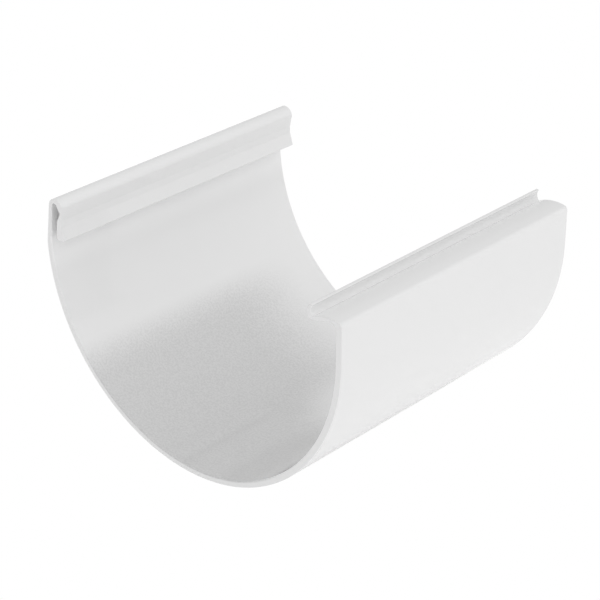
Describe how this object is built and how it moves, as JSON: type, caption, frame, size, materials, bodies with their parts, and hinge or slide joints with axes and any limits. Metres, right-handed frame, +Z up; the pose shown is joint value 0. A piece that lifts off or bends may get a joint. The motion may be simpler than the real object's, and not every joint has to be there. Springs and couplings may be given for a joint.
{
  "type": "half-round gutter coupling",
  "caption": "Open half-round trough with a snap-over hook along one rim and an inward shoulder with a small upturned lip along the other; it joins two gutter ends.",
  "frame": {"origin": "on the axis of the half round, midway between the two cut ends", "axes": "+Y along the gutter, +X towards the lip rim, -X towards the hook rim, +Z up out of the open trough"},
  "size_m": [0.1299, 0.11, 0.0806],
  "materials": {
    "white_pvc": "extruded rigid white PVC-U, satin gloss"
  },
  "bodies": {
    "root": {"trough_wall": "white_pvc", "hook_crown": "white_pvc", "hook_leg": "white_pvc", "lip_shoulder": "white_pvc", "lip_upstand": "white_pvc"}
  },
  "joints": []
}
